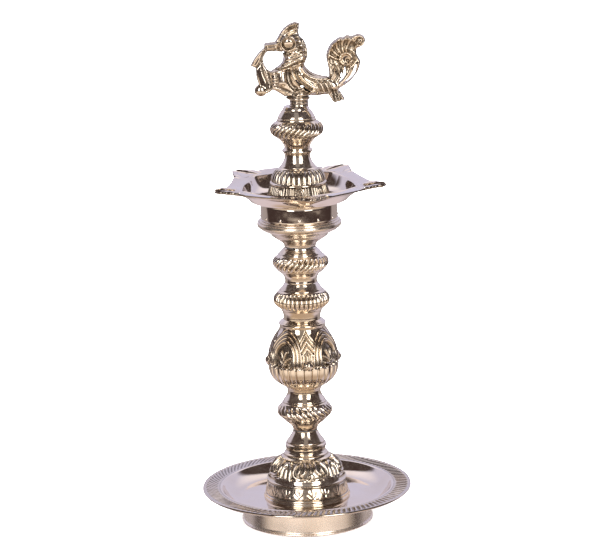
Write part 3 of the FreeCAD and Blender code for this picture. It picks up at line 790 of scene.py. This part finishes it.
def finial_knop_shape():
    knop = Outline(FINIAL_HOLE_R, ROPE_KNOP_Z).face("", 1.5).line(8.7, ROPE_KNOP_Z)
    knop.face("below", 0.5).curve((9.2, 266.6), (12.2, 271.0), (16.6, 274.3))
    knop.face("rope").arc(18.6, 278.6, 16.2, 282.4).face("above", 0.45).line(13.8, 284.1)
    knop.curve((12.4, 287.6), (9.8, 291.7), (8.4, BIRD_Z))
    return knop.face("", 2.5).line(FINIAL_HOLE_R, BIRD_Z)


def finial_rope(phi, z, r):
    lean = -2.6 * (z - 278.5)
    edge = between(z, 273.0, 283.4, 1.6)
    lobes = gadroon(phi + lean + wander(phi, z, 1.2, 89), 28) ** 0.8
    lines = turned_lines(z, (284.6, 0.45), (286.2, 0.3), (272.2, 0.35), (291.9, 0.4))
    return -1.35 * edge * (1 - lobes) - 0.32 * lines


bell = lathe("finial_bell", upper_bell_shape(),
             dict(skirt=upper_skirt, shoulder=upper_flutes, neck=upper_neck),
             columns=480, hollow_scale=1.2, darker_faces={"skirt": 0.5, "shoulder": 0.35})
place(bell, "upper_bell", "finial", "cast_brass", cast)
cast_section("finial_rope_knop", "finial_knop", "finial", finial_knop_shape(), finial_rope, 460, 1.2)


# ---- Threaded rods
def thread(phi, z):
    """How far a right-hand screw thread lies below its crest."""
    turn = (z / THREAD_PITCH - phi / 360) % 1
    return THREAD_DEPTH * (np.abs(2 * turn - 1) - 1)


def threaded(name, node_name, body):
    """A turned rod with a real thread, as long as the CAD rod that it stands for."""
    bottom, top = seam(node_name), seam(node_name, 1)
    narrow = THREAD_R - CHAMFER
    rod = Outline(0.05, bottom).face("", 1.0).line(narrow, bottom).line(THREAD_R, bottom + CHAMFER)
    rod.face("thread", 0.2).line(THREAD_R, top - CHAMFER)
    rod.face("", 0.5).line(narrow, top).line(0.05, top)
    cut = {"thread": lambda phi, z, r: thread(phi, z) * between(z, bottom, top, 0.8)}
    made = lathe(name, rod, cut, columns=64, crease=60, hollow_scale=1.2)
    place(made, node_name, body, "turned_brass", turned_brass)


threaded("base_stud_thread", "base_stud", "base")
threaded("stem_rod_thread", "stem_rod", "stem")
threaded("tray_stud_thread", "tray_stud", "tray")


# ---- Bird
# The bird is a grid of distances to its surface, below 0 inside, that limbs and
# plates are melted into and lines are chased into.
GRID = 0.4
LOW = np.array([-31.6, -7.8, 292.6])
HIGH = np.array([49.6, 7.8, 353.2])
FAR = 9.0
axes = [np.arange(low, high, GRID) for low, high in zip(LOW, HIGH)]
field = np.full([len(axis) for axis in axes], FAR)


def near(low, high):
    """The part of the grid inside a box, and its coordinates."""
    cut = tuple(slice(*np.searchsorted(axis, (a, b))) for axis, a, b in zip(axes, low, high))
    return cut, np.meshgrid(*[axis[part] for axis, part in zip(axes, cut)], indexing="ij", sparse=True)


def blend(cut, distance, softness):
    """Add a body to the field, with a fillet where it meets what is there."""
    there = field[cut]
    h = np.clip(0.5 + 0.5 * (there - distance) / softness, 0, 1)
    field[cut] = there + (distance - there) * h - softness * h * (1 - h)


def drawn(x, z):
    """The start of an outline seen from the side."""
    return Outline(x, z).face("", 0.7)


def plate(outline, half, edge):
    """A cast plate inside an outline in X and Z, rounded over `edge` at its rim."""
    path = np.array(outline.points + outline.points[:1])
    low = (path[:, 0].min() - 2, LOW[1], path[:, 1].min() - 2)
    high = (path[:, 0].max() + 2, HIGH[1], path[:, 1].max() + 2)
    cut, (gx, gy, gz) = near(low, high)
    depth = polyline_distance(gx, gz, path)
    inside = np.zeros(depth.shape, bool)
    for (ax, az), (bx, bz) in zip(path[:-1], path[1:]):
        if az != bz:
            inside ^= ((az > gz) != (bz > gz)) & (gx < (bx - ax) * (gz - az) / (bz - az) + ax)
    depth = np.where(inside, depth, -depth)
    t = np.clip(depth / edge, 0, 1)
    away = np.abs(gy)
    blend(cut, np.where(depth > 0, away - half * np.sqrt(t * (2 - t)), np.hypot(depth, away)), 0.6)


def limb_distance(knots, flat):
    path = spline_points(knots, 5)
    reach = path[:, 2].max() + 2
    low = (path[:, 0].min() - reach, -reach * flat, path[:, 1].min() - reach)
    high = (path[:, 0].max() + reach, reach * flat, path[:, 1].max() + reach)
    cut, (gx, gy, gz) = near(low, high)
    gy = gy / flat
    nearest = np.inf
    for (ax, az, ar), (bx, bz, br) in zip(path[:-1], path[1:]):
        dx, dz = bx - ax, bz - az
        t = np.clip(((gx - ax) * dx + (gz - az) * dz) / (dx * dx + dz * dz + 1e-9), 0, 1)
        apart = np.sqrt((gx - ax - t * dx) ** 2 + gy ** 2 + (gz - az - t * dz) ** 2)
        nearest = np.minimum(nearest, (apart - ar - t * (br - ar)) * min(1.0, flat))
    return cut, nearest


def limb(*knots, flat, softness):
    """A rounded limb through knots of (x, z, radius), flattened sideways below 1."""
    cut, distance = limb_distance(knots, flat)
    blend(cut, distance, softness)


def slit(*knots):
    """Open a gap right through the bird."""
    cut, distance = limb_distance(knots, 9.0)
    field[cut] = np.maximum(field[cut], -distance)


def chase(height, half_width, *knots):
    """Raise (or, below 0, sink) a line on both faces of the bird."""
    path = spline_points(knots, 6)
    low = (path[:, 0].min() - half_width, LOW[1], path[:, 1].min() - half_width)
    high = (path[:, 0].max() + half_width, HIGH[1], path[:, 1].max() + half_width)
    cut, (gx, gy, gz) = near(low, high)
    field[cut] -= height * ridge(polyline_distance(gx, gz, path), half_width)


def chase_ring(height, half_width, x, z, radius):
    """Raise or sink a ring on both faces."""
    cut, (gx, gy, gz) = near((x - 9, LOW[1], z - 9), (x + 9, HIGH[1], z + 9))
    field[cut] -= height * ridge(np.hypot(gx - x, gz - z) - radius, half_width)


def compass(*angles):
    """Unit steps in X and Z at angles in degrees."""
    turns = np.radians(angles)
    return np.column_stack([np.cos(turns), np.sin(turns)])


body = drawn(-4.8, 300.4).curve((-9.0, 303.2), (-15.0, 306.8), (-17.4, 311.5), (-17.0, 318.4))
body.curve((-12.5, 321.3), (-8.4, 325.2), (-7.0, 329.0)).line(-7.0, 332.0).line(8.6, 330.0).line(8.3, 326.4)
body.curve((6.6, 322.4), (9.6, 318.4), (14.4, 315.3), (21.5, 313.9)).line(27.5, 312.0)
body.curve((30.5, 308.0), (29.0, 304.0), (22.0, 301.4), (10.5, 300.6)).line(-4.8, 300.4)
plate(body, 5.6, 5.5)
limb((-7.0, 311.6, 6.0), (2.0, 310.4, 7.6), (12.0, 309.0, 6.6), (20.0, 308.0, 5.2), flat=0.82, softness=2.0)
limb((-3.2, 336.2, 8.0), (-2.8, 336.4, 8.0), flat=0.66, softness=1.0)
limb((-0.6, 326.0, 7.2), (0.8, 331.0, 7.4), flat=0.66, softness=1.5)
crest = drawn(-13.0, 338.0).curve((-9.9, 344.0), (-4.2, 349.9), (0.8, 351.9)).line(3.8, 350.9)
crest.curve((3.4, 347.0), (3.6, 343.4), (6.6, 339.0), (8.9, 330.0)).line(8.3, 326.4).line(0.0, 328.0)
plate(crest, 3.1, 1.5)
bill = drawn(-20.6, 331.6).line(-20.3, 337.4).line(-13.0, 338.0).line(-8.0, 340.0).line(-8.0, 331.0)
plate(bill.line(-12.5, 332.2), 4.2, 0.8)
vine = drawn(-19.0, 331.6).curve((-21.4, 326.5), (-20.2, 322.0), (-17.0, 318.4)).line(-13.0, 318.0)
vine.line(-13.0, 307.4).curve((-17.6, 304.0), (-21.0, 302.4)).line(-25.0, 309.0)
vine.curve((-26.4, 314.5), (-26.8, 320.8)).line(-30.3, 322.4).curve((-26.6, 329.0), (-20.6, 334.8))
plate(vine, 2.5, 1.3)
limb((-23.9, 305.3, 4.3), (-23.7, 305.3, 4.3), flat=0.95, softness=0.3)
fan = drawn(23.0, 313.0).curve((22.8, 320.0), (21.4, 327.0), (25.0, 336.6), (29.6, 340.0))
fan.arc(31.6, 340.6, 33.2, 339.4).arc(36.0, 341.8, 38.6, 340.2)
fan.curve((43.0, 342.3), (47.4, 340.4), (48.0, 336.8), (45.4, 333.6), (42.4, 332.4)).line(42.4, 328.4)
fan.line(44.9, 323.8).curve((43.2, 318.0), (40.2, 313.2), (35.4, 308.6), (29.8, 305.2))
plate(fan.line(24.0, 307.0), 3.9, 1.7)
tuft = drawn(21.4, 302.4).line(24.6, 297.6).arc(26.4, 295.6, 28.4, 296.2).arc(30.2, 296.2, 31.2, 297.4)
plate(tuft.arc(33.2, 297.4, 33.0, 299.2).line(29.4, 304.8).line(24.0, 307.0), 3.6, 1.4)
limb((2.1, 293.5, 6.8), (2.1, 303.0, 7.2), flat=1.0, softness=1.5)
limb((-15.6, 307.6, 1.6), (-9.0, 304.0, 2.0), (-3.6, 300.6, 2.2), flat=2.0, softness=0.8)

plain = field.copy()
# head: crest rim and curl, eye, bill and the feathers of the nape
chase(0.9, 1.0, (-12.4, 338.6), (-9.2, 343.6), (-3.9, 349.0), (0.8, 351.0))
chase(0.8, 1.0, (-7.6, 342.8), (-2.6, 345.9), (3.0, 347.7))
chase(-1.0, 0.9, (-8.4, 344.0), (-3.4, 347.4), (1.6, 349.4))
chase(-0.9, 0.9, (-4.6, 343.4), (0.4, 345.4), (3.4, 345.9))
chase_ring(1.2, 0.9, -4.0, 337.6, 4.9)
chase(1.7, 6.4, (-4.1, 341.2), (-3.9, 341.2))
chase_ring(-1.2, 0.8, -4.0, 337.6, 3.9)
chase(1.0, 2.8, (-18.8, 336.6), (-12.6, 337.0))
chase(-1.0, 0.7, (-19.3, 335.4), (-19.2, 332.9), (-15.6, 332.8), (-12.7, 333.2))
chase(-1.0, 0.7, (-19.3, 335.6), (-16.0, 335.9), (-12.9, 336.1))
chase(-1.0, 0.9, (-10.4, 337.4), (-10.6, 333.4), (-8.6, 331.4))
chase(-1.1, 0.9, (3.4, 345.4), (3.9, 342.8), (5.4, 338.6), (6.9, 333.6), (7.2, 328.6))
for k in range(4):
    chase(-1.0, 0.8, (0.9 + 1.0 * k, 341.0 - 3.2 * k), (3.6 + 0.8 * k, 340.0 - 3.0 * k))
chase(-1.0, 1.0, (-8.6, 331.8), (-4.0, 330.2), (1.4, 331.0), (4.0, 334.6))
# bands round the neck
for k in range(4):
    chase(1.0, 0.95, (-11.6 + 2.3 * k, 320.6 + 2.6 * k), (-5.4 + 1.5 * k, 322.8 + 2.5 * k),
          (5.2 + 0.5 * k, 326.6 + 1.9 * k))
chase(1.0, 1.1, (-16.6, 317.6), (-11.0, 318.6), (-5.0, 320.8), (0.6, 322.8), (6.4, 324.6))
chase(-1.2, 0.9, (-13.0, 319.9), (-7.0, 320.8), (-0.6, 323.6), (5.4, 325.6))
# breast, wing and back
chase(-2.2, 2.0, (-5.0, 318.4), (-4.6, 313.6), (-3.0, 309.4), (0.0, 306.4))
chase(1.6, 1.3, (-2.2, 320.6), (-1.2, 315.2), (2.4, 310.4), (7.6, 306.4), (12.2, 303.6))
chase(-1.0, 1.1, (0.6, 319.6), (1.6, 314.6), (5.6, 309.8), (11.0, 306.0))
chase(1.0, 1.0, (4.6, 320.4), (7.6, 316.4), (12.6, 313.6), (21.0, 312.9))
chase(-0.9, 0.9, (6.0, 316.0), (11.0, 312.6), (20.6, 311.4))
chase(0.9, 1.0, (3.6, 315.4), (8.0, 310.4), (14.0, 306.4))
for x in (14.4, 18.0, 21.4):
    chase(1.1, 0.8, (x - 1.0, 310.2), (x + 0.6, 306.6), (x + 1.8, 303.6))
    chase(-0.9, 0.8, (x + 0.9, 310.4), (x + 2.4, 306.6), (x + 3.4, 304.0))
chase(1.2, 2.7, (-9.2, 315.8), (-8.9, 311.2))
chase(-1.0, 0.9, (-12.8, 317.4), (-12.4, 309.0))
for k in range(3):
    chase(0.9, 0.7, (-16.6, 314.4 - 2.3 * k), (-12.8, 313.2 - 2.3 * k))
chase(-1.1, 0.9, (-13.6, 308.4), (-6.6, 305.6), (-0.6, 302.6))
chase(1.0, 1.0, (-0.6, 304.4), (4.0, 306.0), (8.6, 305.2), (10.0, 302.6))
chase(-0.9, 0.8, (-0.4, 302.4), (4.4, 304.2), (8.4, 302.8))
# vine
chase(-1.2, 0.8, (-20.8, 332.4), (-22.7, 327.4), (-24.4, 323.6), (-26.4, 321.2))
chase(-0.9, 0.7, (-22.8, 325.4), (-22.2, 320.0), (-20.8, 315.0), (-19.3, 311.0), (-19.4, 305.6))
chase(-1.1, 0.7, (-19.0, 320.4), (-18.0, 316.0), (-16.9, 311.0), (-16.4, 306.4))
chase(0.7, 0.8, (-29.6, 322.6), (-26.6, 327.4), (-21.0, 333.6))
# tail: the rim, the feathers, the eye, the curl and two gaps between the stalks
slit((29.6, 309.6, 0.55), (32.2, 312.6, 0.9), (33.6, 316.0, 1.0), (33.8, 319.0, 0.5))
slit((32.6, 308.8, 0.5), (37.4, 312.8, 0.85), (40.4, 317.4, 1.0), (41.4, 321.4, 0.6))
chase(1.0, 1.0, (24.0, 316.0), (23.0, 322.0), (23.0, 328.0), (25.6, 335.0), (29.8, 338.9), (35.0, 339.5),
      (41.0, 341.0), (45.6, 341.0), (47.2, 337.4), (45.2, 334.8), (42.8, 335.0))
eye = np.array([34.8, 325.9])
chase(-1.5, 4.6, *(eye + 8.8 * compass(176, 150, 125, 100, 74)))
for angle, end in ((168, 10.6), (142, 12.4), (119, 13.4), (97, 13.4), (74, 13.6)):
    reach = np.array([[5.2], [0.55 * end + 2], [end]])
    chase(1.6, 1.2, *(eye + reach * compass(angle + 14, angle + 8, angle)))
chase_ring(1.2, 1.1, eye[0], eye[1], 3.9)
chase_ring(-1.0, 0.8, eye[0], eye[1], 5.6)
chase(-1.3, 1.3, (35.8, 325.0), (36.2, 324.4))
chase_ring(-1.0, 0.8, 44.6, 337.8, 2.1)
chase(-1.2, 0.9, (26.6, 322.0), (28.4, 318.6), (28.6, 314.0), (26.6, 310.6))
chase(-1.2, 0.9, (30.4, 321.0), (31.4, 317.6), (30.6, 313.6))
chase(0.9, 0.9, (24.8, 312.6), (26.2, 317.0), (25.8, 321.6))
chase(0.9, 0.9, (29.6, 307.8), (35.6, 314.4), (37.6, 320.6), (37.2, 323.6))
chase(-0.9, 0.8, (40.6, 331.8), (40.2, 335.0), (41.8, 337.4))
chase(-1.0, 0.8, (41.0, 324.6), (41.8, 328.0), (41.4, 331.0))
for k in range(3):
    chase(-1.3, 0.7, (25.4 + 1.9 * k, 304.6), (26.6 + 2.1 * k, 297.0 + 0.6 * k))
# ring lines round the stem, and a clean seat on the knop below
for z, height in ((300.9, -0.9), (299.3, 0.6), (297.6, -0.8), (295.6, -0.6)):
    chase(height, 0.8, (-6.4, z), (10.6, z))
_, (_, _, level) = near(LOW, HIGH)
field = np.maximum(field, BIRD_Z - level)


def surface_net(values, low, step):
    """Quads over the zero surface of a grid of distances."""
    inside = values < 0
    shape = np.array(values.shape) - 1
    total, count = np.zeros((*shape, 3)), np.zeros(tuple(shape))
    corners = [(a, b, c) for a in (0, 1) for b in (0, 1) for c in (0, 1)]

    def part(grid, corner):
        return grid[tuple(slice(k, k + n) for k, n in zip(corner, shape))]

    for start in corners:
        for axis in range(3):
            if start[axis]:
                continue
            end = tuple(k + (n == axis) for n, k in enumerate(start))
            a, b = part(values, start), part(values, end)
            crossed = part(inside, start) != part(inside, end)
            t = np.where(crossed, a / np.where(crossed, a - b, 1), 0)
            for n in range(3):
                total[..., n] += crossed * (start[n] + (t if n == axis else 0))
            count += crossed
    used = count > 0
    number = np.full(used.shape, -1)
    number[used] = np.arange(used.sum())
    points = low + step * (np.argwhere(used) + total[used] / count[used][:, None])
    quads = []
    for axis in range(3):
        b, c = (axis + 1) % 3, (axis + 2) % 3
        ahead = np.roll(inside, -1, axis)
        for sign in (True, False):
            edges = np.argwhere((inside == sign) & (ahead != sign))
            across = edges[:, [b, c]]
            inner = np.all((across > 0) & (across < shape[[b, c]]), axis=1)
            edges = edges[inner & (edges[:, axis] < shape[axis])]
            ring = []
            for db, dc in ((1, 1), (0, 1), (0, 0), (1, 0)):
                at = edges.copy()
                at[:, b] -= db
                at[:, c] -= dc
                ring.append(number[tuple(at.T)])
            quads.append(np.stack(ring if sign else ring[::-1], axis=1))
    return points, np.vstack(quads)


def relax(points, quads, rounds, amount):
    """Move each point towards the mean of its neighbours."""
    a, b = quads.ravel(), np.roll(quads, -1, axis=1).ravel()
    for _ in range(rounds):
        total, count = np.zeros_like(points), np.zeros(len(points))
        for near_end, far_end in ((a, b), (b, a)):
            np.add.at(total, near_end, points[far_end])
            np.add.at(count, near_end, 1)
        points = points + amount * (total / count[:, None] - points)
    return points


points, quads = surface_net(field, LOW, GRID)
points = relax(points, quads, rounds=2, amount=0.5)
points[:, 2] = np.maximum(points[:, 2], BIRD_Z)
# grime and painted shade below the unchased surface, painted shade on the narrow sides, and the whole bird a
# little darker
cells = np.round((points - LOW) / GRID).astype(int)
cells = tuple(np.clip(cells, 0, np.array(plain.shape) - 1).T)
slopes = [slope[cells] for slope in np.gradient(field, GRID)]
side_on = smooth(0.62, 0.2, np.abs(slopes[1]) / np.sqrt(sum(slope ** 2 for slope in slopes)))
# side_on paints shade on the narrow sides of the plates
shade_and_grime = np.clip(0.32 + np.maximum(-plain[cells] / 0.75, 0.6 * side_on), 0, 1)
bird = make_mesh("bird", points, quads, shade_and_grime, crease=80)
place(bird, "bird_finial", "finial", "cast_brass", cast)


# ---- CAD nodes kept as they are
kept_nodes = dict.fromkeys(("base_washer", "base_nut", "stem_locknut", "tray_washer", "tray_nut"), plated)
kept_nodes.update(finial_rod=turned_brass)
kept_nodes.update(dict.fromkeys(("stem_seal", "tray_seal", "finial_seal"), seal_rubber))
for name, material in kept_nodes.items():
    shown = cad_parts[name]
    for k in range(max(1, len(shown.data.materials))):
        if k < len(shown.data.materials):
            shown.data.materials[k] = material
        else:
            shown.data.materials.append(material)


# ---- Room, light and camera
def window(tree, value, low, high, fade):
    """1 inside a span, fading to 0 over `fade` on both sides."""
    rise = remap(tree, value, low - fade / 2, low + fade / 2)
    fall = remap(tree, value, high - fade / 2, high + fade / 2, 1.0, 0.0)
    return math(tree, "MULTIPLY", rise, fall)


def studio():
    """A room painted by direction: pale, dark behind the camera, with two upright soft
    lights and a faint glow between them.  Only reflections see it.  The camera sees
    white, and matt surfaces get one even light."""
    world = bpy.data.worlds.new("studio")
    bpy.context.scene.world = world
    world.use_nodes = True
    tree = world.node_tree
    tree.nodes.clear()
    direction = node(tree, "ShaderNodeTexCoord").outputs["Generated"]
    x, y, z = node(tree, "ShaderNodeSeparateXYZ", {0: direction}).outputs
    front = math(tree, "MULTIPLY", y, -1.0)
    side = math(tree, "ARCTAN2", x, front)
    height = math(tree, "ARCSINE", z)
    back = (0.66, 0.64, 0.83, 1)
    above = (1.02, 0.96, 1.06, 1)
    behind = (0.42, 0.37, 0.38, 1)
    dark = (0.058, 0.037, 0.034, 1)
    table = (1.25, 1.08, 0.93, 1)
    under = (0.78, 0.69, 0.77, 1)
    golden = (0.60, 0.455, 0.34, 1)
    lamp = (5.0, 4.8, 4.5, 1)
    between_lamps = (0.27, 0.235, 0.22, 1)
    facing = remap(tree, front, -0.46, -0.27)
    horizon = remap(tree, height, radians(-4), radians(3))
    below = remap(tree, height, radians(-17), radians(-13), 1.0, 0.0)
    steep = remap(tree, height, radians(-42), radians(-24), 1.0, 0.0)
    beneath = mix(tree, remap(tree, front, -0.2, 0.25), under, golden)
    high = remap(tree, height, radians(24), radians(50))
    colour = mix(tree, horizon, behind, mix(tree, high, back, above))
    colour = mix(tree, facing, colour, dark)
    colour = mix(tree, math(tree, "MULTIPLY", below, remap(tree, front, -0.1, 0.5)), colour, table)
    colour = mix(tree, steep, colour, beneath)
    for middle, width, top, glow in ((1.5, 40, 62, between_lamps), (-26, 20, 42, lamp), (29, 23, 42, lamp)):
        across = window(tree, side, radians(middle - width / 2), radians(middle + width / 2), radians(4))
        up = window(tree, height, radians(-3), radians(top), radians(9))
        colour = mix(tree, math(tree, "MULTIPLY", across, up), colour, glow)
    light_path = node(tree, "ShaderNodeLightPath")
    even = (5.0, 5.0, 5.0, 1)
    white = (1, 1, 1, 1)
    soft = mix(tree, light_path.outputs["Is Glossy Ray"], even, colour)
    seen = mix(tree, light_path.outputs["Is Camera Ray"], soft, white)
    background = node(tree, "ShaderNodeBackground", {"Color": seen, "Strength": 1.0})
    node(tree, "ShaderNodeOutputWorld", {"Surface": background.outputs[0]})


def floor():
    """A wide pale floor under the lamp."""
    half, step = 3.0, 24
    line = np.linspace(-half, half, step + 1) / MM
    gx, gy = np.meshgrid(line, line, indexing="ij")
    points = np.stack([gx, gy, np.zeros_like(gx)], axis=2).reshape(-1, 3)
    i, j = np.meshgrid(np.arange(step), np.arange(step), indexing="ij")
    corner = i * (step + 1) + j
    quads = np.stack([corner, corner + step + 1, corner + step + 2, corner + 1], axis=2).reshape(-1, 4)
    ground = make_mesh("studio_floor", points, quads, np.zeros(len(points)))
    material, tree, shader, where = new_material("floor_paint")
    tone = mix(tree, noise(tree, where, 3, 2), (0.93, 0.93, 0.93, 1), (0.96, 0.96, 0.96, 1))
    tree.links.new(tone, shader.inputs["Base Color"])
    shader.inputs["Roughness"].default_value = 0.9
    shader.inputs["Specular IOR Level"].default_value = 0.0
    ground.data.materials.append(material)
    ground.visible_glossy = False


# the camera as fitted to the photo: metres, degrees and millimetres
CAMERA_AT = (-0.0006, -1.8257, 0.60535)
CAMERA_TILT = 76.767
CAMERA_ROLL = -1.639
CAMERA_LENS = 162.5

studio()
floor()
camera_data = bpy.data.cameras.new("camera")
camera_data.lens = CAMERA_LENS
camera_data.sensor_width = 36
camera_data.clip_end = 20
camera = bpy.data.objects.new("camera", camera_data)
bpy.context.collection.objects.link(camera)
camera.matrix_world = (Matrix.Translation(CAMERA_AT)
                       @ Matrix.Rotation(radians(CAMERA_TILT), 4, "X")
                       @ Matrix.Rotation(radians(CAMERA_ROLL), 4, "Z"))
scene = bpy.context.scene
scene.camera = camera
scene.view_settings.view_transform = "Standard"
